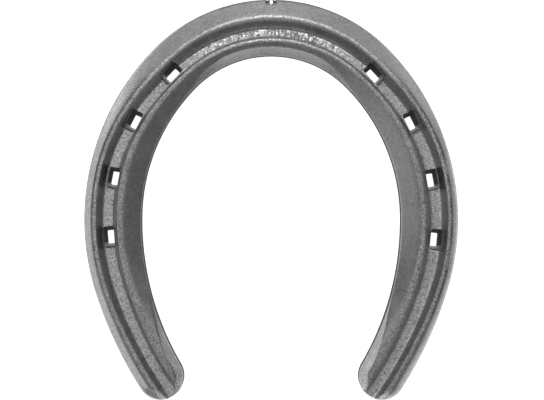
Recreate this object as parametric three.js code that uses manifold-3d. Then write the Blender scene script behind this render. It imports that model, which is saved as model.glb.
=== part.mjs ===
// A light steel horseshoe, forged in one piece and creased all the way round.
// It lies with its ground side up: +Y points to the toe, +X to the right branch, +Z away from the hoof.
import * as THREE from 'three';
import { ConvexGeometry } from 'three/addons/geometries/ConvexGeometry.js';
import { ParametricGeometry } from 'three/addons/geometries/ParametricGeometry.js';
import { mergeVertices } from 'three/addons/utils/BufferGeometryUtils.js';
import Module from 'manifold-3d';

// Driving dimensions, in millimetres and degrees.
// Each branch is three arcs that run on smoothly from the toe to the heel: [radius, turn].
const outerArcs = [[57, 45], [84.3, 62.45], [142, 20]];
const innerArcs = [[37, 45.3], [65.3, 43.9], [100, 45]];
const webAtToe = 19.3;
const heelEndRadius = 8.05;
const thickness = 8;
const groundEdge = { width: 2.2, height: 1.4 };
const hoofEdge = { width: 0.6, height: 0.6 };

// How far the ground die and the nail punches sit toward the right branch.
const dieDrift = 0.3;
const punchDrift = { across: 0.5, along: 0.5 };

// How far in from the outer edge each line of the ground face lies: [toe, quarter, heel].
const insets = {
  rimOutside: [5.8, 2.7, 3.4],
  rimInside: [6.2, 3.8, 4.8],
  wallFoot: [9.3, 5.7, 6.1],
  floorOutside: [9.9, 6.1, 6.5],
  floorInside: [12.6, 9.5, 9.4],
  innerRimOutside: [13.4, 10.9, 10.8],
  innerRimInside: [14.6, 12.8, 13.2],
  innerBevel: [16.7, 17.4, 13.9],
  webInside: [19.3, 19.6, 16.3],
};

// The height of the same lines above the hoof face.
const heights = {
  outerEdge: [5.8, 6.7, 6.6],
  wallFoot: [4.3, 4.1, 4.5],
  floorOutside: [3.4, 3.8, 4.2],
  floorInside: [4.1, 3.9, 4.2],
  innerRim: [6.2, 6.4, 6.7],
  innerBevel: [5.5, 4.9, 6.6],
  webInside: [4.1, 4.4, 5.4],
};

// The toe's shape holds to toeEnd, and the quarter's is reached at quarterStart.
const toeEnd = 35;
const quarterStart = 95;
const quarterEnd = 120;
const heelStart = 172;
const sweepEnd = 186;
const stationStep = 4.2;

// Nail holes of one branch: how far along the outer edge and how far in, at the hoof face.
const nailHoles = [[48, 10.4], [71.8, 9], [95.4, 8.6], [118.4, 8.2]];
const nailHole = { across: 2.5, along: 4.6 };
const nailSocket = { along: 7.6, floor: 3.8, outerLean: 0.32, innerLean: 0.02 };

// The centre mark at the toe is a nib between two notches.
const nib = { tip: 0.95, root: 1.9, proud: 0.5 };
const notch = { reach: 1.95, depth: 1.2 };
const markFloor = 2;

// Facets of one heel's round, how far tools reach past the part, and which corners count as one.
const heelSteps = 24;
const clearOfPart = 4;
const cutBeyond = 1;
const sameCorner = 1e-4;
const radians = Math.PI / 180;

const wasm = await Module();
wasm.setup();

// One edge of a branch, walked from the toe: its arcs with their centres and angles.
// Angles are measured clockwise from +Y, so an arc's outward direction is (sin, cos).
function edge(toeY, arcs) {
  let angle = 0;
  let at = new THREE.Vector2(0, toeY);
  return arcs.map(([radius, turn]) => {
    const centre = at.clone().addScaledVector(outward(angle), -radius);
    const arc = { centre, radius, from: angle, to: angle + turn * radians };
    angle = arc.to;
    at = centre.clone().addScaledVector(outward(angle), radius);
    return arc;
  });
}

function outward(angle) {
  return new THREE.Vector2(Math.sin(angle), Math.cos(angle));
}

function arcLength(arc) {
  return arc.radius * (arc.to - arc.from);
}

// The place on the outer edge a distance along from the toe; a negative distance is the left branch.
function station(along) {
  let left = Math.abs(along);
  const arc = outer.find((a, i) => {
    const here = left <= arcLength(a) || i === outer.length - 1;
    left -= here ? 0 : arcLength(a);
    return here;
  });
  const angle = arc.from + left / arc.radius;
  const out = outward(angle);
  const at = arc.centre.clone().addScaledVector(out, arc.radius);
  const side = along < 0 ? -1 : 1;
  at.x *= side;
  out.x *= side;
  return { at, out };
}

// A value that goes from the toe's to the quarter's to the heel's.
function between(along, [toe, quarter, heel]) {
  const far = Math.abs(along);
  const toQuarter = THREE.MathUtils.smoothstep(far, toeEnd, quarterStart);
  const toHeel = THREE.MathUtils.smoothstep(far, quarterEnd, heelStart);
  return toe + (quarter - toe) * toQuarter + (heel - quarter) * toHeel;
}

// The centre of the round that touches both edges at the heel.
function heelCentre() {
  const out = outer.at(-1);
  const inn = inner.at(-1);
  const reachOut = out.radius - heelEndRadius;
  const reachIn = inn.radius + heelEndRadius;
  const across = inn.centre.clone().sub(out.centre);
  const apart = across.length();
  across.divideScalar(apart);
  const along = (reachOut ** 2 - reachIn ** 2 + apart ** 2) / (2 * apart);
  const aside = Math.sqrt(reachOut ** 2 - along ** 2);
  return out.centre.clone()
    .addScaledVector(across, along)
    .add(new THREE.Vector2(-across.y, across.x).multiplyScalar(aside));
}

function arcPoints(centre, radius, from, to) {
  const steps = Math.max(1, Math.ceil(Math.abs(to - from) * radius / stationStep));
  return Array.from({ length: steps }, (_, i) => {
    const angle = from + (to - from) * i / steps;
    return centre.clone().addScaledVector(outward(angle), radius);
  });
}

// The right branch's outline from the toe round the heel and back, then the left branch's.
function outline() {
  const heel = heelCentre();
  const leaveOuter = heel.clone().sub(outer.at(-1).centre);
  const joinInner = heel.clone().sub(inner.at(-1).centre);
  const outerTurn = Math.atan2(leaveOuter.x, leaveOuter.y);
  const innerTurn = Math.atan2(joinInner.x, joinInner.y);
  const edgePoints = (arcs, lastTurn) => arcs.flatMap((arc, i) =>
    arcPoints(arc.centre, arc.radius, arc.from, i === arcs.length - 1 ? lastTurn : arc.to));
  const innerPoints = edgePoints(inner, innerTurn);
  const heelPoints = [];
  for (let i = 0; i <= heelSteps; i++) {
    const angle = outerTurn + (innerTurn + Math.PI - outerTurn) * i / heelSteps;
    heelPoints.push(heel.clone().addScaledVector(outward(angle), heelEndRadius));
  }
  const right = [...edgePoints(outer, outerTurn), ...heelPoints, ...innerPoints.slice().reverse()];
  const left = right.slice(1, -1).reverse().map((p) => new THREE.Vector2(-p.x, p.y));
  return new THREE.Shape([...right, ...left]);
}

// A closed solid from a geometry, with its shared corners merged and its collapsed faces dropped.
function solid(geometry) {
  const bare = geometry.clone();
  bare.deleteAttribute('normal');
  bare.deleteAttribute('uv');
  const merged = mergeVertices(bare, sameCorner);
  const index = merged.index.array;
  const kept = [];
  for (let i = 0; i < index.length; i += 3) {
    const [a, b, c] = index.slice(i, i + 3);
    if (a !== b && b !== c && c !== a) {
      kept.push(a, b, c);
    }
  }
  const mesh = new wasm.Mesh({
    numProp: 3,
    vertProperties: new Float32Array(merged.attributes.position.array),
    triVerts: new Uint32Array(kept),
  });
  return new wasm.Manifold(mesh);
}

// The bar bent to shape, with its ground edges rolled and its hoof edges just broken.
function blank() {
  const shape = outline();
  const rolled = (edgeSize, from, to) => {
    const geometry = new THREE.ExtrudeGeometry(shape, {
      depth: to - from - 2 * edgeSize.height,
      bevelThickness: edgeSize.height,
      bevelSize: edgeSize.width,
      bevelOffset: -edgeSize.width,
      bevelSegments: 1,
    });
    geometry.translate(0, 0, from + edgeSize.height);
    return solid(geometry);
  };
  const groundSide = rolled(groundEdge, -clearOfPart, thickness);
  const hoofSide = rolled(hoofEdge, 0, thickness + clearOfPart);
  return groundSide.intersect(hoofSide);
}

// The ground face across the web, from outside to inside, as [inset, height].
function groundProfile(along) {
  const inset = (name) => between(along, insets[name]);
  const height = (name) => between(along, heights[name]);
  const rollRise = (thickness - height('outerEdge')) / inset('rimOutside');
  const seatFall = (height('innerBevel') - height('webInside')) / (inset('webInside') - inset('innerBevel'));
  return [
    [-clearOfPart, height('outerEdge') - rollRise * clearOfPart],
    [inset('rimOutside'), thickness],
    [inset('rimInside'), thickness],
    [inset('wallFoot'), height('wallFoot')],
    [inset('floorOutside'), height('floorOutside')],
    [inset('floorInside'), height('floorInside')],
    [inset('innerRimOutside'), height('innerRim')],
    [inset('innerRimInside'), height('innerRim')],
    [inset('innerBevel'), height('innerBevel')],
    [inset('webInside') + clearOfPart, height('webInside') - seatFall * clearOfPart],
  ];
}

// The die that presses the ground face: everything above the profile, swept from heel to heel.
function groundDie() {
  const count = 2 * Math.ceil(sweepEnd / stationStep);
  const top = thickness + clearOfPart;
  const section = (along) => {
    const profile = groundProfile(along);
    return [[profile[0][0], top], [profile.at(-1)[0], top], ...profile.reverse()];
  };
  const corners = section(0).length;
  const endCorner = [insets.webInside[1] / 2, top - cutBeyond];
  const geometry = new ParametricGeometry((u, v, target) => {
    const row = THREE.MathUtils.clamp(Math.round(v * (count + 2)), 0, count + 2);
    const closed = row === 0 || row === count + 2;
    const step = THREE.MathUtils.clamp(row - 1, 0, count);
    const along = sweepEnd * (2 * step / count - 1);
    const corner = (Math.round(u * corners) + corners) % corners;
    const [inset, height] = closed ? endCorner : section(along)[corner];
    const { at, out } = station(along);
    target.set(at.x - out.x * inset + dieDrift, at.y - out.y * inset, height);
  }, corners, count + 2);
  return solid(geometry);
}

// One nail hole: a straight-sided socket for the head over a taper for the shank.
function nailPunch(along, inset, side) {
  const { at, out } = station(along * side + punchDrift.along);
  const acrossRing = (height) => [
    -nailHole.across / 2 - nailSocket.outerLean * height,
    nailHole.across / 2 + nailSocket.innerLean * height,
  ];
  const halfAlong = (height) => {
    const rise = Math.min(height / nailSocket.floor, 1);
    return (nailHole.along + (nailSocket.along - nailHole.along) * rise) / 2;
  };
  const corners = [-cutBeyond, nailSocket.floor, thickness + cutBeyond].flatMap((height) =>
    acrossRing(height).flatMap((across) =>
      [-1, 1].map((end) => {
        const inward = inset + across;
        const onward = end * halfAlong(height);
        return new THREE.Vector3(
          at.x - out.x * inward + out.y * onward + punchDrift.across,
          at.y - out.y * inward - out.x * onward,
          height,
        );
      })));
  return solid(new ConvexGeometry(corners));
}

// A flat outline with square ends, from one height to another.
function prism(points, from, to) {
  const shape = new THREE.Shape(points.map(([x, y]) => new THREE.Vector2(x, y)));
  const geometry = new THREE.ExtrudeGeometry(shape, { depth: to - from, bevelEnabled: false });
  geometry.translate(0, 0, from);
  return solid(geometry);
}

function toeNib() {
  const root = -notch.depth;
  const outlinePoints = [
    [-nib.root / 2, root], [nib.root / 2, root], [nib.tip / 2, nib.proud], [-nib.tip / 2, nib.proud],
  ];
  return prism(outlinePoints, markFloor, thickness);
}

function toeNotch(side) {
  const outlinePoints = [
    [side * nib.tip / 2, nib.proud],
    [side * nib.root / 2, -notch.depth],
    [side * notch.reach, 0],
    [side * notch.reach, nib.proud],
  ];
  return prism(side < 0 ? outlinePoints.reverse() : outlinePoints, markFloor, thickness + cutBeyond);
}

function forgedShoe() {
  let steel = blank().add(toeNib()).subtract(groundDie());
  for (const side of [-1, 1]) {
    steel = steel.subtract(toeNotch(side));
    for (const [along, inset] of nailHoles) {
      steel = steel.subtract(nailPunch(along, inset, side));
    }
  }
  return steel;
}

function meshOf(made, name, material) {
  const { vertProperties, triVerts } = made.getMesh();
  const geometry = new THREE.BufferGeometry();
  geometry.setAttribute('position', new THREE.BufferAttribute(vertProperties, 3));
  geometry.setIndex(new THREE.BufferAttribute(triVerts, 1));
  geometry.computeVertexNormals();
  const mesh = new THREE.Mesh(geometry, material);
  mesh.name = name;
  return mesh;
}

const outer = edge(0, outerArcs);
const inner = edge(-webAtToe, innerArcs);
const steelFinish = new THREE.MeshStandardMaterial({
  color: 0x7d7d80,
  roughness: 0.45,
  metalness: 1,
  flatShading: true,
});

const shoe = meshOf(forgedShoe(), 'forged_shoe', steelFinish);
shoe.geometry.computeBoundingBox();
const shoeCentre = shoe.geometry.boundingBox.getCenter(new THREE.Vector3());
shoe.position.set(-shoeCentre.x, -shoeCentre.y, 0);

const horseshoe = new THREE.Group();
horseshoe.add(shoe);
export default horseshoe;
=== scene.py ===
# A light steel horseshoe, ground side up, on a pale studio floor.
import math

import bpy
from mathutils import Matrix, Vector


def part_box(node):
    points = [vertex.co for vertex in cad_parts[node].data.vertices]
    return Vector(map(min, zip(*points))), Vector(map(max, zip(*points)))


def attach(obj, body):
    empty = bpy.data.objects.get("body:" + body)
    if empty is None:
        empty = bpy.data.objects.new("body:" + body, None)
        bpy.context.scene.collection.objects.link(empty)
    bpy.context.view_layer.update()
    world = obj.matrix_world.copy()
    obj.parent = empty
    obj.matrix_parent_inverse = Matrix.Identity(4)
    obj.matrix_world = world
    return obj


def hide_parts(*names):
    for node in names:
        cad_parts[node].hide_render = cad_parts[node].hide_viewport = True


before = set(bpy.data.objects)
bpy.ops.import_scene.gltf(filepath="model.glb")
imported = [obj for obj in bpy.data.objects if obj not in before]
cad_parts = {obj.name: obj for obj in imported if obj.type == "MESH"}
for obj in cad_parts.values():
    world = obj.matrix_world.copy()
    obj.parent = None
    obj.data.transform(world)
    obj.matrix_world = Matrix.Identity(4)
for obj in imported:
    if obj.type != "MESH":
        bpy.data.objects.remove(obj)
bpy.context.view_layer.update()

mm = 0.001


class Value:
    # a socket that takes part in Python arithmetic; each operator adds a Math node to its graph
    def __init__(self, graph, socket):
        self.graph = graph
        self.socket = socket

    def __add__(self, other):
        return self.graph.math("ADD", self, other)

    def __sub__(self, other):
        return self.graph.math("SUBTRACT", self, other)

    def __rsub__(self, other):
        return self.graph.math("SUBTRACT", other, self)

    def __mul__(self, other):
        return self.graph.math("MULTIPLY", self, other)

    def __truediv__(self, other):
        return self.graph.math("DIVIDE", self, other)

    def __rtruediv__(self, other):
        return self.graph.math("DIVIDE", other, self)

    def __pow__(self, other):
        return self.graph.math("POWER", self, other)

    def __neg__(self):
        return self.graph.math("MULTIPLY", self, -1.0)

    __radd__ = __add__
    __rmul__ = __mul__

    def output(self, name):
        # another output of the same node
        return Value(self.graph, self.socket.node.outputs[name])


class Graph:
    # builds a node tree from Python expressions
    def __init__(self, tree):
        self.tree = tree

    def feed(self, socket, value):
        if isinstance(value, Value):
            self.tree.links.new(value.socket, socket)
        elif value is not None:
            socket.default_value = value

    def node(self, kind, settings=None, inputs=None):
        made = self.tree.nodes.new(kind)
        for name, value in (settings or {}).items():
            setattr(made, name, value)
        for key, value in (inputs or {}).items():
            self.feed(made.inputs[key], value)
        shown = [s for s in made.outputs if s.enabled]
        return Value(self, shown[0]) if shown else made

    def math(self, operation, *values):
        return self.node("ShaderNodeMath", {"operation": operation}, dict(enumerate(values)))

    def sin(self, angle):
        return self.math("SINE", angle) if isinstance(angle, Value) else math.sin(angle)

    def cos(self, angle):
        return self.math("COSINE", angle) if isinstance(angle, Value) else math.cos(angle)

    def root(self, value):
        if not isinstance(value, Value):
            return math.sqrt(max(value, 0.0))
        return self.math("SQRT", self.math("MAXIMUM", value, 0.0))

    def direction(self, x, y):
        # the angle of a direction, clockwise from +Y
        return self.math("ARCTAN2", x, y) if isinstance(x, Value) else math.atan2(x, y)

    def mix(self, part, a, b):
        return a + (b - a) * part

    def within(self, value, lowest, highest):
        return self.math("MINIMUM", self.math("MAXIMUM", value, lowest), highest)

    def lower(self, a, b, softness):
        return self.math("SMOOTH_MIN", a, b, softness)

    def upper(self, a, b, softness):
        return self.math("SMOOTH_MAX", a, b, softness)

    def ramp(self, value, start, end, before=0.0, after=1.0, smooth=True):
        # goes from one value at start to another at end, and stays level outside
        settings = {"interpolation_type": "SMOOTHSTEP" if smooth else "LINEAR", "clamp": True}
        ends = {"From Min": start, "From Max": end, "To Min": before, "To Max": after}
        return self.node("ShaderNodeMapRange", settings, {"Value": value, **ends})

    def steps(self, count, values):
        # runs through a list of values as the count goes 0, 1, 2 and so on
        value = values[0]
        for passed, (start, end) in enumerate(zip(values, values[1:])):
            value = value + (end - start) * self.within(count - passed, 0.0, 1.0)
        return value

    def hump(self, value, centre, width):
        # rises to one at the centre and is nothing beyond the width
        away = (value - centre) / width
        return self.math("MAXIMUM", 1.0 - away * away, 0.0)

    def vector(self, x=0.0, y=0.0, z=0.0):
        return self.node("ShaderNodeCombineXYZ", None, {"X": x, "Y": y, "Z": z})


def sizeInputs(graph, sizes):
    # names each size as an input of the tree, and returns the inputs' identifiers and values
    kinds = {int: "NodeSocketInt", float: "NodeSocketFloat", bpy.types.Material: "NodeSocketMaterial"}
    identifiers = {}
    for name, value in sizes.items():
        kind = kinds[bpy.types.Material if isinstance(value, bpy.types.Material) else type(value)]
        socket = graph.tree.interface.new_socket(name, in_out="INPUT", socket_type=kind)
        identifiers[name] = socket.identifier
    group = graph.node("NodeGroupInput")
    return identifiers, {name: group.output(name) for name in sizes}


# The forged bar is one grid, bent along the branches and wrapped round the section.
low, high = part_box("forged_shoe")
nibProud = 0.5

shoeSizes = {  # millimetres and radians
    "Toe Y": high.y / mm - nibProud,
    "Thickness": (high.z - low.z) / mm,
    "Web At Toe": 19.3,
    "Heel Round": 8.05,
    "Outer Toe Radius": 57.0,
    "Outer Quarter Radius": 84.3,
    "Outer Heel Radius": 142.0,
    "Outer Toe Turn": math.radians(45),
    "Outer Quarter Turn": math.radians(62.45),
    "Inner Toe Radius": 37.0,
    "Inner Quarter Radius": 65.3,
    "Inner Heel Radius": 100.0,
    "Inner Toe Turn": math.radians(45.3),
    "Inner Quarter Turn": math.radians(43.9),
    "Die Drift": 0.3,
}

# Lines of the ground face: how far in from the outer edge each lies, at the toe, quarter and heel.
insets = {
    "rimOutside": (5.7, 2.7, 3.4),
    "rimInside": (6.25, 3.8, 4.8),
    "wallFoot": (9.3, 5.7, 6.1),
    "floorOutside": (9.9, 6.1, 6.5),
    "floorInside": (12.6, 9.5, 9.4),
    "innerRimOutside": (13.4, 11.2, 10.9),
    "innerRimInside": (14.6, 12.8, 13.2),
    "webInside": (19.3, 19.6, 16.3),
}

# Their heights above the hoof face, and what the outer rim adds to its bevel.
heights = {
    "ridge": (0.0, 0.22, 0.2),  # the small step up from the bevel to the rim
    "wallFoot": (4.3, 4.1, 4.5),
    "floorOutside": (3.4, 3.8, 4.2),
    "floorInside": (4.1, 3.9, 4.2),
    "innerRim": (6.2, 6.4, 6.7),
    "webInside": (4.6, 4.4, 6.4),
    "landSlope": (0.24, 0.02, 0.02),  # how steeply the rims' flats rise inward
}

# How wide and how deep the two ground edges are rolled; an ease over 1 curves the bevel.
rolls = {
    "outerWidth": (5.7, 2.5, 2.8),
    "outerDepth": (1.8, 1.6, 2.1),
    "outerEase": (1.0, 1.35, 1.2),
    "innerWidth": (2.9, 0.7, 3.1),
    "innerDepth": (1.3, 0.1, 2.5),
}
beyondBevelSlope = 3.0  # lifts the bevel's plane clear of the face past its width

# How softly neighbouring faces run into each other, and the radius of the two edges.
softness = {
    "shoulder": 0.06,
    "crest": 0.12,
    "top": 0.02,
    "step": 0.15,
    "wallToStep": 0.2,
    "stepToFloor": 0.25,
    "innerRim": 0.4,
    "seat": 0.6,
    "groundEdge": 0.45,
    "hoofEdge": 0.6,
}
samePoint = 0.001  # points nearer than this are merged
sliver = 0.01  # shorter edges left by the punches are closed up

# Rows run along each branch and columns round the section.
grid = {
    "rowsPerBranch": 430,
    "rowsAtMark": 22,
    "markReach": 3.3,  # millimetres along the edge that the rows at the mark cover
    "rowsPerHeel": 24,
    "wall": 5,
    "edge": 9,
    "hoof": 14,
    "edgeReach": 2.4,  # millimetres in from each edge that have columns of their own
    "segments": (5, 3, 4, 6, 4, 10, 5, 5, 8),  # columns between the lines of the ground face
}

# The nail punches of one branch, narrow at the hoof face and wide at the ground.
punch = {
    "stations": (48.0, 71.8, 95.4, 118.4),  # along the outer edge from the toe
    "insets": (10.4, 9.0, 8.6, 8.2),
    "sideShift": 0.5,
    "drift": 0.5,
    "across": 2.5,
    "levels": (-1.0, 0.0, 3.8, 9.0),  # heights that the next two are given at
    "alongAt": (4.2, 4.6, 7.6, 7.9),
    "cornerAt": (0.35, 0.35, 0.7, 0.9),
    "outerLean": 0.32,
    "innerLean": 0.02,
    "around": 40,
    "burrAway": 4.1,
}

# The centre mark is a nib between two notches.
toeMark = {
    "tip": 0.475,  # half widths of the nib
    "root": 0.95,
    "reach": 1.95,
    "depth": 0.1,  # how far the notches cut into the outline
    "from": 3.8,  # it fades out down the wall between these heights
    "to": 6.0,
    "rise": 0.18,
    "notch": 1.3,  # how far the notches sink from the top
    "notchAt": 1.2,
    "notchReach": 0.7,
}


def branchArcs(g, toeY, radii, turns):
    # each arc's centre, radius, first angle and the length before it, walked from the toe
    arcs = []
    x, y, angle, before = 0.0, toeY, 0.0, 0.0
    for radius, turn in zip(radii, (*turns, None)):
        centre = (x - radius * g.sin(angle), y - radius * g.cos(angle))
        arcs.append({"centre": centre, "radius": radius, "from": angle, "before": before, "turn": turn})
        if turn is not None:
            before = radius * turn + before
            angle = turn + angle
            x = centre[0] + radius * g.sin(angle)
            y = centre[1] + radius * g.cos(angle)
    return arcs


def heelCentre(g, outer, inner, heelRound):
    # the centre of the round that touches both edges
    reachOut = outer["radius"] - heelRound
    reachIn = inner["radius"] + heelRound
    acrossX = inner["centre"][0] - outer["centre"][0]
    acrossY = inner["centre"][1] - outer["centre"][1]
    apart = g.root(acrossX * acrossX + acrossY * acrossY)
    acrossX = acrossX / apart
    acrossY = acrossY / apart
    along = (reachOut * reachOut - reachIn * reachIn + apart * apart) / (apart * 2.0)
    aside = g.root(reachOut * reachOut - along * along)
    x = outer["centre"][0] + acrossX * along - acrossY * aside
    y = outer["centre"][1] + acrossY * along + acrossX * aside
    return x, y


def stationFacing(g, arc, point):
    # the distance along an arc of the outer edge at which a point lies straight in
    angle = g.direction(point[0] - arc["centre"][0], point[1] - arc["centre"][1])
    return arc["before"] + arc["radius"] * (angle - arc["from"])


def outerEdgeAt(g, outer, station):
    # the place on the outer edge and the outward direction
    x, y, heading = 0.0, outer[0]["centre"][1] + outer[0]["radius"], 0.0
    for arc in outer:
        most = 3.0 if arc["turn"] is None else arc["turn"]
        turned = g.within((station - arc["before"]) / arc["radius"], 0.0, most)
        start = arc["from"]
        x = x + arc["radius"] * (g.sin(turned + start) - g.sin(start))
        y = y + arc["radius"] * (g.cos(turned + start) - g.cos(start))
        heading = turned + heading
    return (x, y), (g.sin(heading), g.cos(heading))


def ray(g, place, out, centre, radius):
    # how far in along the ray the centre lies, and half of the chord that a circle cuts from it
    toX = place[0] - centre[0]
    toY = place[1] - centre[1]
    middle = toX * out[0] + toY * out[1]
    half = g.root(middle * middle - toX * toX - toY * toY + radius * radius)
    return middle, half


def between(g, station, values, toeEnd=35.0, quarterStart=95.0, quarterEnd=120.0, heelStart=172.0):
    toe, quarter, heel = values
    first = g.ramp(station, toeEnd, quarterStart, toe, quarter)
    return first + g.ramp(station, quarterEnd, heelStart, 0.0, heel - quarter)


floorWork = {
    "wrinkleSpacing": 3.2,
    "wrinkleDepth": 0.55,
    "wrinklesEnd": 40.0,
    "burrHeight": 0.22,
    "burrWidth": 0.42,
}


def floorMarks(g, station, side, inset):
    # cross wrinkles in the toe crease, and a burr at the heel side of each nail punch
    wander = g.node("ShaderNodeTexNoise", None, {
        "Vector": g.vector(station * side / floorWork["wrinkleSpacing"], inset * 0.25, 0.0),
        "Scale": 1.0, "Detail": 2.0, "Roughness": 0.6})
    wrinkle = g.ramp(g.math("ABSOLUTE", wander - 0.5), 0.0, 0.045, 1.0, 0.0)
    wave = (wander - 0.5) * 0.8
    fade = g.ramp(station, 18.0, floorWork["wrinklesEnd"], 1.0, 0.0)
    strong = 0.6 + 0.12 * side
    marks = (wave - wrinkle) * fade * strong * floorWork["wrinkleDepth"]
    for away in punch["stations"]:
        lip = away + punch["sideShift"] * side + punch["burrAway"]
        marks = marks + g.hump(station, lip, floorWork["burrWidth"]) * floorWork["burrHeight"]
    return marks


def groundHeight(g, station, side, inset, top):
    # the heights of the pressed ground face and of its outer shoulder, before the edges are rolled
    at = {name: between(g, station, values) for name, values in insets.items()}
    tall = {name: between(g, station, values) for name, values in heights.items()}
    landRise = tall["landSlope"] * (at["rimInside"] - at["rimOutside"])
    shoulder = top - landRise - tall["ridge"]
    ridge = shoulder + (inset - at["rimOutside"] + 0.1) * 2.0
    land = top - tall["landSlope"] * g.within(
        at["rimInside"] - inset, 0.0, at["rimInside"] - at["rimOutside"])
    outside = g.lower(g.upper(shoulder, ridge, softness["shoulder"]), land, softness["shoulder"])
    wallSlope = (top - tall["wallFoot"]) / (at["wallFoot"] - at["rimInside"])
    wall = top - (inset - at["rimInside"]) * wallSlope
    outerRim = g.lower(g.lower(outside, wall, softness["crest"]), top, softness["top"])
    stepSlope = (tall["wallFoot"] - tall["floorOutside"]) / (at["floorOutside"] - at["wallFoot"]) * 1.4
    stepDown = (inset - at["wallFoot"] - softness["step"]) * stepSlope
    step = g.lower(tall["wallFoot"] - stepDown, tall["wallFoot"], softness["step"])
    across = g.within((inset - at["floorOutside"]) / (at["floorInside"] - at["floorOutside"]), 0.0, 1.0)
    floor = tall["floorOutside"] + (tall["floorInside"] - tall["floorOutside"]) * across
    floor = floor + floorMarks(g, station, side, inset)
    riseSlope = (tall["innerRim"] - tall["floorInside"]) / (at["innerRimOutside"] - at["floorInside"])
    rise = tall["floorInside"] + (inset - at["floorInside"]) * riseSlope
    seatSlope = (tall["innerRim"] - tall["webInside"]) / (at["webInside"] - at["innerRimInside"])
    seat = tall["innerRim"] - (inset - at["innerRimInside"]) * seatSlope
    innerLand = tall["innerRim"] + tall["landSlope"] * (inset - at["innerRimOutside"] - 0.5)
    innerRim = g.lower(g.lower(rise, innerLand, softness["innerRim"]), seat, softness["seat"])
    crease = g.upper(g.upper(outerRim, step, softness["wallToStep"]), floor, softness["stepToFloor"])
    return g.upper(crease, innerRim, softness["seat"]), shoulder


def roundedEdge(g, away, radius):
    # how far a rounded edge has dropped at a distance from the outline
    left = 1.0 - g.within(away / radius, 0.0, 1.0)
    return radius * (1.0 - g.root(1.0 - left * left))


def bevel(g, away, width, depth, ease):
    # how far a bevel that eases into the face has dropped
    return depth * (1.0 - g.within(away / width, 0.0, 1.0)) ** ease


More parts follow.
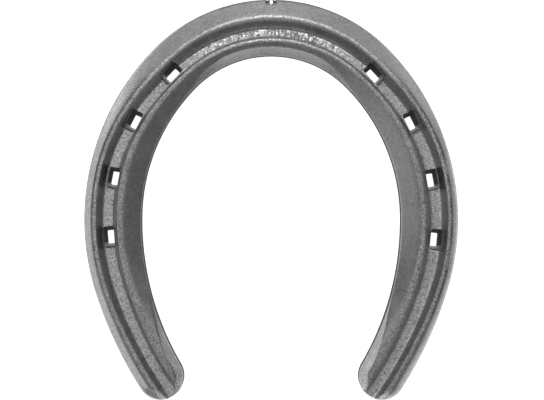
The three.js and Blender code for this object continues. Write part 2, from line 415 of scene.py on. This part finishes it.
def buildBarTree(material):
    tree = bpy.data.node_groups.new("horseshoeBar", "GeometryNodeTree")
    tree.interface.new_socket("Geometry", in_out="OUTPUT", socket_type="NodeSocketGeometry")
    g = Graph(tree)
    sizes = {**shoeSizes, "Steel": material}
    identifiers, size = sizeInputs(g, sizes)
    top = size["Thickness"]

    outer = branchArcs(
        g, size["Toe Y"],
        [size[f"Outer {part} Radius"] for part in ("Toe", "Quarter", "Heel")],
        [size[f"Outer {part} Turn"] for part in ("Toe", "Quarter")])
    inner = branchArcs(
        g, size["Toe Y"] - size["Web At Toe"],
        [size[f"Inner {part} Radius"] for part in ("Toe", "Quarter", "Heel")],
        [size[f"Inner {part} Turn"] for part in ("Toe", "Quarter")])
    heelRound = size["Heel Round"]
    heel = heelCentre(g, outer[2], inner[2], heelRound)
    heelStation = stationFacing(g, outer[2], heel)

    # rows run along the branches, closer together round the heels
    rowCount = 2 * (grid["rowsPerBranch"] + grid["rowsPerHeel"]) + 1
    edgeCols = grid["edge"]
    lineCols = sum(grid["segments"])
    groundCols = 2 * edgeCols + lineCols
    colCount = 2 * grid["wall"] + groundCols + grid["hoof"] + 1
    sheet = g.node("GeometryNodeMeshGrid", None, {"Vertices X": rowCount, "Vertices Y": colCount})
    index = g.node("GeometryNodeInputIndex")
    row = g.math("FLOOR", (index + 0.5) / colCount)
    col = index - row * colCount
    fromToe = row - (rowCount - 1) / 2
    side = g.math("SIGN", fromToe)
    rows = g.math("ABSOLUTE", fromToe)
    markRows = grid["rowsAtMark"]
    markPart = g.within(rows / markRows, 0.0, 1.0)
    branch = g.within((rows - markRows) / (grid["rowsPerBranch"] - markRows), 0.0, 1.0)
    roundTurn = g.within((rows - grid["rowsPerBranch"]) / grid["rowsPerHeel"], 0.0, 1.0) * (math.pi / 2)
    reach = outer[2]["radius"] - heelRound
    station = markPart * grid["markReach"] + branch * (heelStation - grid["markReach"])
    station = station + outer[2]["radius"] * g.math("ARCSINE", heelRound * g.sin(roundTurn) / reach)
    place, out = outerEdgeAt(g, outer, station)

    # where the outline begins and ends along each row
    atTip = g.math("GREATER_THAN", rows, grid["rowsPerBranch"] + grid["rowsPerHeel"] - 0.5)
    chords = [ray(g, place, out, arc["centre"], arc["radius"]) for arc in inner]
    webs = [middle - half for middle, half in chords]
    joints = [
        stationFacing(g, outer[0], joinOf(g, inner[0])),
        stationFacing(g, outer[1], joinOf(g, inner[1])),
    ]
    web = webs[0]
    for nextWeb, lastWeb, joint in zip(webs[1:], webs, joints):
        web = web + (nextWeb - lastWeb) * g.math("GREATER_THAN", station, joint)
    middle, half = ray(g, place, out, heel, heelRound)
    half = half * (1.0 - atTip)
    inHeel = g.math("GREATER_THAN", station, heelStation)
    first = inHeel * (middle - half)
    last = web + inHeel * (middle + half - web)

    # columns run round the section: outer wall, ground face, inner wall, hoof face
    drift = size["Die Drift"] * side * out[0]
    wallUp = g.within(col / grid["wall"], 0.0, 1.0)
    wallDown = g.within((col - grid["wall"] - groundCols) / grid["wall"], 0.0, 1.0)
    groundCol = g.within(col - grid["wall"], 0.0, groundCols)
    outerPart = g.within(groundCol / edgeCols, 0.0, 1.0)
    innerPart = g.within((groundCol - edgeCols - lineCols) / edgeCols, 0.0, 1.0)
    edgeReach = g.math("MINIMUM", (last - first) / 2.0, grid["edgeReach"])
    names = list(insets)[:-1]
    lines = {name: between(g, station, insets[name]) - drift for name in names}
    knots = [first + edgeReach, lines["rimOutside"] - 0.14, *lines.values(), last - edgeReach]
    inset = knots[0]
    passed = edgeCols
    for count, start, end in zip(grid["segments"], knots, knots[1:]):
        inset = inset + (end - start) * g.ramp(groundCol, passed, passed + count)
        passed += count
    inset = g.within(inset, first + edgeReach, last - edgeReach)
    inset = inset - edgeReach * (1.0 - outerPart * outerPart)
    inset = inset + edgeReach * (1.0 - (1.0 - innerPart) ** 2.0)
    hoofCol = g.within(col - 2 * grid["wall"] - groundCols, 0.0, grid["hoof"])
    hoofSide = 1.0 - hoofCol * (2.0 / grid["hoof"])
    shaped = g.math("SIGN", hoofSide) * (1.0 - (1.0 - g.math("ABSOLUTE", hoofSide)) ** 3.0)
    inset = inset + ((first + last) + (last - first) * shaped) / 2.0 - last

    # the centre mark: a nib between two notches, fading out down the wall
    across = markPart * grid["markReach"] * (1.0 - g.math("GREATER_THAN", branch, 0.0))
    shift = g.ramp(across, toeMark["tip"], toeMark["root"], -nibProud, toeMark["depth"], smooth=False)
    shift = shift * g.ramp(across, toeMark["root"] + 0.1, toeMark["reach"], 1.0, 0.0)
    shift = shift * (1.0 - g.math("GREATER_THAN", branch, 0.0))
    wallDrop = g.ramp(wallUp, (toeMark["from"] - 0.6) / 6.4, (toeMark["to"] - 0.6) / 6.4)
    fromEdge = g.ramp(inset, 1.5, 5.0, 1.0, 0.0)
    shift = shift * wallDrop * fromEdge * (1.0 - g.math("GREATER_THAN", wallDown, 0.0))
    inset = inset + shift

    # distance to the outline, and the heights of both faces
    x = place[0] - out[0] * inset
    y = place[1] - out[1] * inset
    toHeelX = x - heel[0]
    toHeelY = y - heel[1]
    awayInHeel = heelRound - g.root(toHeelX * toHeelX + toHeelY * toHeelY)

    def awayFromOutline(inward):
        nearest = g.mix(inHeel, g.math("MINIMUM", inward, web - inward), awayInHeel)
        return g.math("MAXIMUM", nearest, 0.0)

    away = awayFromOutline(inset)
    pressed, shoulder = groundHeight(g, station, side, inset + drift, top)
    roll = {name: between(g, station, values) for name, values in rolls.items()}
    roll["innerWidth"] = between(g, station, rolls["innerWidth"], 20.0, 55.0, 145.0)
    roll["innerDepth"] = between(g, station, rolls["innerDepth"], 20.0, 55.0, 145.0)
    rise = toeMark["rise"] * g.ramp(across, toeMark["tip"], toeMark["root"], 1.0, 0.0)
    rise = rise - toeMark["notch"] * g.hump(across, toeMark["notchAt"], toeMark["notchReach"])
    nearToe = 1.0 - g.math("GREATER_THAN", branch, 0.0)
    markRise = rise * g.ramp(inset, 0.5, 1.6, 1.0, 0.0) * nearToe
    outerWidth = roll["outerWidth"] - drift
    beyond = g.math("MAXIMUM", away - outerWidth, 0.0)
    bevelDrop = bevel(g, away, outerWidth, roll["outerDepth"], roll["outerEase"])
    bevelPlane = shoulder - bevelDrop + beyond * beyondBevelSlope
    bevelled = g.lower(pressed, bevelPlane, softness["shoulder"])
    seated = pressed - bevel(g, away, roll["innerWidth"], roll["innerDepth"], 1.1)
    inward = g.ramp(inset / web, 0.6, 0.72)
    ground = g.mix(inward, bevelled, seated) + markRise
    ground = ground - roundedEdge(g, awayFromOutline(inset - shift), softness["groundEdge"])
    hoof = roundedEdge(g, away, softness["hoofEdge"])
    height = hoof + (ground - hoof) * (wallUp - wallDown)

    position = g.vector(x * side * mm, y * mm, height * mm)
    bent = g.node("GeometryNodeSetPosition", None, {"Geometry": sheet, "Position": position})
    closed = g.node("GeometryNodeMergeByDistance", None, {"Geometry": bent, "Distance": samePoint * mm})
    faced = g.node("GeometryNodeFlipFaces", None, {"Mesh": closed})
    holed = g.node(
        "GeometryNodeMeshBoolean", {"operation": "DIFFERENCE", "solver": "MANIFOLD"},
        {"Mesh 1": faced, "Mesh 2": punches(g, outer)})
    holed = g.node("GeometryNodeMergeByDistance", None, {"Geometry": holed, "Distance": sliver * mm})
    holed = g.node("GeometryNodeTriangulate", None, {"Mesh": holed})
    smooth = g.node("GeometryNodeSetShadeSmooth", None, {"Geometry": holed, "Shade Smooth": True})
    crisp = g.math("GREATER_THAN", g.node("GeometryNodeInputMeshEdgeAngle"), math.radians(40))
    smooth = g.node(
        "GeometryNodeSetShadeSmooth", {"domain": "EDGE"},
        {"Geometry": smooth, "Selection": crisp, "Shade Smooth": False})
    real = g.node("GeometryNodeRealizeInstances", None, {"Geometry": smooth})
    painted = g.node("GeometryNodeSetMaterial", None, {"Geometry": real, "Material": size["Steel"]})
    g.node("NodeGroupOutput", None, {"Geometry": painted})
    return tree, identifiers, sizes


def punches(g, outer):
    # the eight nail punches, each leaning outward and wider along the crease at the top
    index = g.node("GeometryNodeInputIndex")
    around = punch["around"]
    sheet = g.node("GeometryNodeMeshGrid", None, {"Vertices X": 6, "Vertices Y": around + 1})
    level = g.math("FLOOR", (index + 0.5) / (around + 1))
    turn = (index - level * (around + 1) + 0.5) * (2 * math.pi / around)
    height = g.steps(level, [punch["levels"][i] for i in (0, 0, 1, 2, 3, 3)])
    width = g.steps(level, [0.0, 1.0, 1.0, 1.0, 1.0, 0.0])
    along = g.steps(level, [punch["alongAt"][i] for i in (0, 0, 1, 2, 3, 3)]) / 2.0
    corner = g.steps(level, [punch["cornerAt"][i] for i in (0, 0, 1, 2, 3, 3)])
    toward = g.cos(turn)
    onward = g.sin(turn)
    lean = punch["innerLean"] + (punch["outerLean"] - punch["innerLean"]) * g.math("LESS_THAN", toward, 0.0)
    across = punch["across"] / 2.0 + lean * height
    x = g.math("SIGN", toward) * (across - corner) + corner * toward
    y = g.math("SIGN", onward) * (along - corner) + corner * onward
    position = g.vector(x * width * mm, y * width * mm, height * mm)
    tool = g.node("GeometryNodeSetPosition", None, {"Geometry": sheet, "Position": position})
    tool = g.node("GeometryNodeMergeByDistance", None, {"Geometry": tool, "Distance": samePoint * mm})
    tool = g.node("GeometryNodeFlipFaces", None, {"Mesh": tool})
    tool = g.node(
        "GeometryNodeStoreNamedAttribute", {"data_type": "FLOAT", "domain": "FACE"},
        {"Geometry": tool, "Name": "punched", "Value": 1.0})

    count = g.node("GeometryNodeInputIndex")
    side = 1.0 - 2.0 * g.math("GREATER_THAN", count, 3.5)
    place = g.math("MODULO", count, 4.0)
    station = g.steps(place, punch["stations"]) + punch["sideShift"] * side
    at, out = outerEdgeAt(g, outer, station)
    inset = g.steps(place, punch["insets"]) - punch["drift"] * side * out[0]
    centre = g.vector((at[0] - out[0] * inset) * side * mm, (at[1] - out[1] * inset) * mm, 0.0)
    spots = g.node("GeometryNodePoints", None, {"Count": 2 * len(punch["stations"]), "Position": centre})
    facing = g.math("ARCTAN2", -out[1], -out[0] * side)
    return g.node("GeometryNodeRealizeInstances", None, {"Geometry": g.node(
        "GeometryNodeInstanceOnPoints", None,
        {"Points": spots, "Instance": tool, "Rotation": g.vector(0.0, 0.0, facing)})})


def joinOf(g, arc):
    # the point where an arc hands over to the next
    angle = arc["from"] + arc["turn"]
    return arc["centre"][0] + arc["radius"] * g.sin(angle), arc["centre"][1] + arc["radius"] * g.cos(angle)


def grownMesh(name, tree, identifiers, sizes):
    # runs a geometry tree once and returns its result as a plain mesh object
    seed = bpy.data.objects.new(name + "Seed", bpy.data.meshes.new(name + "Seed"))
    bpy.context.scene.collection.objects.link(seed)
    modifier = seed.modifiers.new("grow", "NODES")
    modifier.node_group = tree
    for key, identifier in identifiers.items():
        modifier[identifier] = sizes[key]
    graph = bpy.context.evaluated_depsgraph_get()
    mesh = bpy.data.meshes.new_from_object(seed.evaluated_get(graph))
    mesh.name = name
    bpy.data.objects.remove(seed)
    made = bpy.data.objects.new(name, mesh)
    bpy.context.scene.collection.objects.link(made)
    return made


steelLook = {
    "grey": 0.4,
    "paintedShadeLevel": 0.2,  # painted shade: the part of the grey that the side walls, the punched holes and the notches beside the nib keep
    "wallReach": 0.28,  # millimetres in from the outline
    "paintedShadeRough": 0.25,  # how much rougher they are
    "crestHighlightToe": 1.4,  # painted highlight: how much brighter the crest is at the toe, and at the quarters
    "crestHighlightQuarter": 1.15,
    "wallShade": 0.66,  # painted shade: how bright the crease's outer wall is at the toe, and at the quarters
    "wallShadeQuarter": 0.92,
    "floorHighlight": 0.62,  # painted highlight: how much brighter the crease's floor is
    "nibHighlight": 1.4,
    "outsideRimShade": 0.45,  # painted shade: how much darker the line outside the rim is
    "roughness": 0.28,
    "grainSize": 0.75,  # millimetres
    "grainDepth": 0.1,
    "sparkSize": 0.42,
    "paintedSparkle": 0.65,
    "blotchSize": 7.0,
    "streakLength": 14.0,
    "streakWidth": 0.3,
}


def placeFromEdge(g, across, y, arcs):
    # the distance along an edge from the toe, and the distance in from it, of any point
    station, inset = None, None
    for arc in arcs:
        toX = across - arc["centre"][0]
        toY = y - arc["centre"][1]
        nextStation = arc["before"] + arc["radius"] * (g.math("ARCTAN2", toX, toY) - arc["from"])
        nextInset = arc["radius"] - g.root(toX * toX + toY * toY)
        if station is None:
            station, inset = nextStation, nextInset
        else:
            reached = g.math("GREATER_THAN", station, arc["before"])
            station = g.mix(reached, station, nextStation)
            inset = g.mix(reached, inset, nextInset)
    return station, inset


def placeOnShoe(g, x, y):
    # the distance along from the toe, in from the outer edge, and from the nearest edge
    across = g.math("ABSOLUTE", x)
    turns = {
        edge: [shoeSizes[f"{edge} {part} Turn"] for part in ("Toe", "Quarter")]
        for edge in ("Outer", "Inner")}
    radii = {
        edge: [shoeSizes[f"{edge} {part} Radius"] for part in ("Toe", "Quarter", "Heel")]
        for edge in ("Outer", "Inner")}
    outer = branchArcs(g, shoeSizes["Toe Y"], radii["Outer"], turns["Outer"])
    inner = branchArcs(g, shoeSizes["Toe Y"] - shoeSizes["Web At Toe"], radii["Inner"], turns["Inner"])
    heel = heelCentre(g, outer[2], inner[2], shoeSizes["Heel Round"])
    station, inset = placeFromEdge(g, across, y, outer)
    fromInner = -placeFromEdge(g, across, y, inner)[1]
    toHeelX = across - heel[0]
    toHeelY = y - heel[1]
    fromHeel = shoeSizes["Heel Round"] - g.root(toHeelX * toHeelX + toHeelY * toHeelY)
    inHeel = g.math("GREATER_THAN", station, stationFacing(g, outer[2], heel))
    away = g.mix(inHeel, g.math("MINIMUM", inset, fromInner), fromHeel)
    return station, inset, away


def steelMaterial():
    material = bpy.data.materials.new("forgedSteel")
    material.use_nodes = True
    material.node_tree.nodes.clear()
    g = Graph(material.node_tree)
    spot = g.node("ShaderNodeTexCoord").output("Object")
    parts = g.node("ShaderNodeSeparateXYZ", None, {"Vector": spot})
    x, y, z = (parts.output(axis) / mm for axis in "XYZ")
    station, inset, away = placeOnShoe(g, x, y)
    facing = g.within(station / shoeSizes["Outer Toe Radius"], 0.0, math.pi / 2)
    drift = shoeSizes["Die Drift"] * g.math("SIGN", x) * g.sin(facing)
    at = {name: between(g, station, values) - drift for name, values in insets.items()}
    ground = g.ramp(z, 2.4, 3.0) * g.ramp(away, 0.02, 0.15)
    floorZone = g.ramp(inset, at["wallFoot"], at["floorOutside"]) * g.ramp(
        inset, at["floorInside"], at["floorInside"] + 0.3, 1.0, 0.0)
    innerRimZone = g.ramp(inset, at["innerRimOutside"] - 0.2, at["innerRimOutside"] + 0.2) * g.ramp(
        inset, at["innerRimInside"], at["innerRimInside"] + 0.8, 1.0, 0.0)
    crestZone = g.ramp(inset, at["rimOutside"] - 0.3, at["rimOutside"] + 0.1) * g.ramp(
        inset, at["rimInside"], at["rimInside"] + 0.4, 1.0, 0.0)
    # painted shade along the line between the outer bevel and the rim
    outsideRimShadeMask = g.hump(inset, at["rimOutside"] - 0.22, 0.45) * g.ramp(station, 40.0, 75.0) * ground
    outsideRimShadeMask = outsideRimShadeMask * g.ramp(station, 125.0, 150.0, 1.0, 0.45)
    # painted light: the crease's inner wall is made a tenth lighter, and it is also made less metallic
    innerWall = g.hump(inset, (at["floorInside"] + at["innerRimOutside"]) / 2.0, 0.9) * ground
    coarse = ground * g.within(floorZone + innerRimZone + crestZone, 0.0, 1.0)

    grain = g.node("ShaderNodeTexNoise", None, {
        "Vector": spot, "Scale": 1 / (steelLook["grainSize"] * mm), "Detail": 2.0, "Roughness": 0.6})
    fine = g.node("ShaderNodeTexNoise", None, {
        "Vector": spot, "Scale": 1 / (steelLook["sparkSize"] * mm), "Detail": 1.0, "Roughness": 0.5})
    blotch = g.node("ShaderNodeTexNoise", None, {
        "Vector": spot, "Scale": 1 / (steelLook["blotchSize"] * mm), "Detail": 3.0, "Roughness": 0.6})
    streak = g.node("ShaderNodeTexNoise", None, {
        "Vector": g.vector(station / steelLook["streakLength"], inset / steelLook["streakWidth"], 0.0),
        "Scale": 1.0, "Detail": 2.0, "Roughness": 0.5})

    depth = steelLook["grainDepth"] * mm
    relief = (grain - 0.5) * g.mix(coarse, 0.25 * depth, 1.0 * depth)
    relief = relief + (fine - 0.5) * g.mix(coarse, 0.12 * depth, 0.3 * depth)
    relief = relief + (streak - 0.5) * (1.0 - coarse) * (0.12 * depth)
    bump = g.node("ShaderNodeBump", None, {"Strength": 1.0, "Distance": 1.0, "Height": relief})

    shade = 1.0 + (blotch - 0.5) * 0.35 + (grain - 0.5) * g.mix(coarse, 0.9, 2.0)
    shade = shade + (fine - 0.5) * g.mix(coarse, 0.4, 0.9)
    shade = shade + (streak - 0.5) * (1.0 - coarse) * 0.16
    # painted shade: the side walls, the punched holes (darkest low down, lighter on their heel side) and
    # the notches beside the nib are darkened, rougher and less metallic
    wall = g.ramp(away, steelLook["wallReach"] / 4, steelLook["wallReach"], 1.0, 0.0)
    punched = g.node("ShaderNodeAttribute", {"attribute_name": "punched"}).output("Fac")
    deep = punched * g.ramp(z, 3.8, 5.6, 1.0, 0.15)
    heelward = 0.0
    for hole in punch["stations"]:
        beyondHole = hole + punch["sideShift"] * g.math("SIGN", x) + 2.9
        heelward = heelward + g.hump(station, beyondHole, 1.1)
    deep = deep * (1.0 - 0.6 * heelward)
    notch = g.hump(g.math("ABSOLUTE", x), 1.25, 0.75) * g.ramp(
        y, shoeSizes["Toe Y"] - 1.6, shoeSizes["Toe Y"] - 1.0)
    paintedShadeMask = g.within(wall + deep + notch, 0.0, 1.0)
    # the grey's multiplier, which gathers the painted shade and painted highlights that follow
    paintedLightAndShade = g.mix(paintedShadeMask, 1.0, steelLook["paintedShadeLevel"])
    # painted highlight on the outer rim's crest, strongest at the toe
    paintedCrestHighlight = g.ramp(station, 35.0, 75.0, steelLook["crestHighlightToe"], steelLook["crestHighlightQuarter"])
    # painted shade on the crease's outer wall
    wallZone = g.ramp(inset, at["rimInside"] + 0.2, at["rimInside"] + 0.8) * g.ramp(
        inset, at["floorOutside"] - 0.2, at["floorOutside"], 1.0, 0.0) * ground
    wallShade = g.ramp(station, 30.0, 80.0, steelLook["wallShade"], steelLook["wallShadeQuarter"])
    paintedLightAndShade = paintedLightAndShade * g.mix(wallZone, 1.0, wallShade)
    paintedLightAndShade = paintedLightAndShade * g.mix(ground * crestZone, 1.0, paintedCrestHighlight)
    # painted highlight on the crease's floor
    paintedLightAndShade = paintedLightAndShade * (1.0 + floorZone * ground * steelLook["floorHighlight"])
    # painted highlight on the centre mark's nib
    nib = g.hump(x, 0.0, 0.75) * g.ramp(y, shoeSizes["Toe Y"] - 1.5, shoeSizes["Toe Y"] - 1.0)
    nib = nib * g.ramp(z, 5.0, 5.8)
    paintedLightAndShade = paintedLightAndShade * (1.0 - steelLook["outsideRimShade"] * outsideRimShadeMask) * (1.0 + innerWall * 0.1)
    paintedLightAndShade = paintedLightAndShade * (1.0 + nib * steelLook["nibHighlight"])
    # painted glints: bright specks on the crest, on the inner rim and along its lip
    lip = g.hump(inset, at["innerRimOutside"] + 0.25, 0.55)
    paintedSparkleZone = g.within(crestZone + lip * 0.5 + innerRimZone * 0.3, 0.0, 1.0)
    paintedSparkle = g.ramp(fine, 0.55, 0.68) * paintedSparkleZone * ground
    paintedLightAndShade = paintedLightAndShade * (1.0 + paintedSparkle * steelLook["paintedSparkle"])
    grey = g.within(shade * paintedLightAndShade * steelLook["grey"], 0.02, 0.95)
    colour = g.node("ShaderNodeCombineColor", None, {"Red": grey, "Green": grey, "Blue": grey * 1.015})
    rough = steelLook["roughness"] + coarse * 0.08 + (blotch - 0.5) * 0.12
    rough = rough + paintedShadeMask * steelLook["paintedShadeRough"]
    shader = g.node("ShaderNodeBsdfPrincipled", None, {
        "Base Color": colour,
        "Metallic": (1.0 - paintedShadeMask * 0.9) * (1.0 - innerWall * 0.35),
        "Roughness": rough, "Specular IOR Level": 0.0, "Normal": bump})
    g.node("ShaderNodeOutputMaterial", None, {"Surface": shader})
    return material


steel = steelMaterial()
shoeBody = grownMesh("forgedShoe", *buildBarTree(steel))
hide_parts("forged_shoe")
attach(shoeBody, "root")
print("shoe grown:", len(shoeBody.data.vertices), "vertices")


# The studio: a pale floor, soft lights and a camera straight above.
studio = {
    "floorGrey": 0.9,
    "floorGlow": 0.9,
    "sky": 0.17,
    "backdrop": 0.93,  # how bright the sky looks behind the shoe
    "cameraHeight": 0.505,
    "lens": 95.0,
    "aim": (0.0003, -0.0003),
}

softLights = {  # place, width and height in metres, and brightness
    "leftLight": ((-0.75, 0.1, 0.3), (1.8, 0.5), 0.9),
    "rightLight": ((0.75, 0.1, 0.2), (1.8, 0.34), 0.45),
    "leftBack": ((-0.75, 0.65, 0.5), (0.5, 0.5), 0.7),
    "rightBack": ((0.75, 0.65, 0.5), (0.5, 0.5), 0.6),
    "topLight": ((0.0, 0.0, 1.3), (0.4, 0.4), 0.78),
    "leftFill": ((-0.5, -0.15, 0.8), (0.35, 0.35), 0.65),
    "backLight": ((0.0, 0.85, 0.85), (2.2, 0.5), 0.48),
    "frontLight": ((0.0, -0.75, 0.5), (1.2, 0.5), 0.72),
    "toeLight": ((0.0, 0.41, 0.8), (0.2, 0.2), 7.5),
}


def softLight(name, at, size, brightness):
    light = bpy.data.lights.new(name, "AREA")
    light.shape = "RECTANGLE"
    light.size, light.size_y = size
    light.energy = brightness * math.pi * size[0] * size[1]
    holder = bpy.data.objects.new(name, light)
    holder.location = at
    holder.rotation_euler = (-Vector(at)).to_track_quat("-Z", "Y").to_euler()
    bpy.context.scene.collection.objects.link(holder)


def buildStudio():
    floorMesh = bpy.data.meshes.new("floor")
    reach = 4.0
    corners = [(-reach, -reach, 0), (reach, -reach, 0), (reach, reach, 0), (-reach, reach, 0)]
    floorMesh.from_pydata(corners, [], [(0, 1, 2, 3)])
    floor = bpy.data.objects.new("floor", floorMesh)
    bpy.context.scene.collection.objects.link(floor)
    plain = bpy.data.materials.new("paleFloor")
    plain.use_nodes = True
    plain.node_tree.nodes.clear()
    g = Graph(plain.node_tree)
    grey = studio["floorGrey"]
    shader = g.node("ShaderNodeBsdfPrincipled", None, {
        "Base Color": (grey, grey, grey, 1), "Roughness": 0.9, "Specular IOR Level": 0.1,
        "Emission Color": (1, 1, 1, 1), "Emission Strength": studio["floorGlow"]})
    g.node("ShaderNodeOutputMaterial", None, {"Surface": shader})
    floorMesh.materials.append(plain)

    sky = bpy.data.worlds.new("sky")
    bpy.context.scene.world = sky
    sky.use_nodes = True
    sky.node_tree.nodes.clear()
    g = Graph(sky.node_tree)
    seen = g.node("ShaderNodeLightPath").output("Is Camera Ray")
    back = g.node("ShaderNodeBackground", None, {
        "Color": (1, 1, 1, 1), "Strength": g.mix(seen, studio["sky"], studio["backdrop"])})
    g.node("ShaderNodeOutputWorld", None, {"Surface": back})

    for name, (at, size, brightness) in softLights.items():
        softLight(name, at, size, brightness)

    lens = bpy.data.cameras.new("camera")
    lens.lens = studio["lens"]
    lens.sensor_width = 36
    camera = bpy.data.objects.new("camera", lens)
    camera.location = (studio["aim"][0], studio["aim"][1], studio["cameraHeight"])
    bpy.context.scene.collection.objects.link(camera)
    bpy.context.scene.camera = camera
    bpy.context.scene.view_settings.view_transform = "Standard"


buildStudio()
print("studio ready")
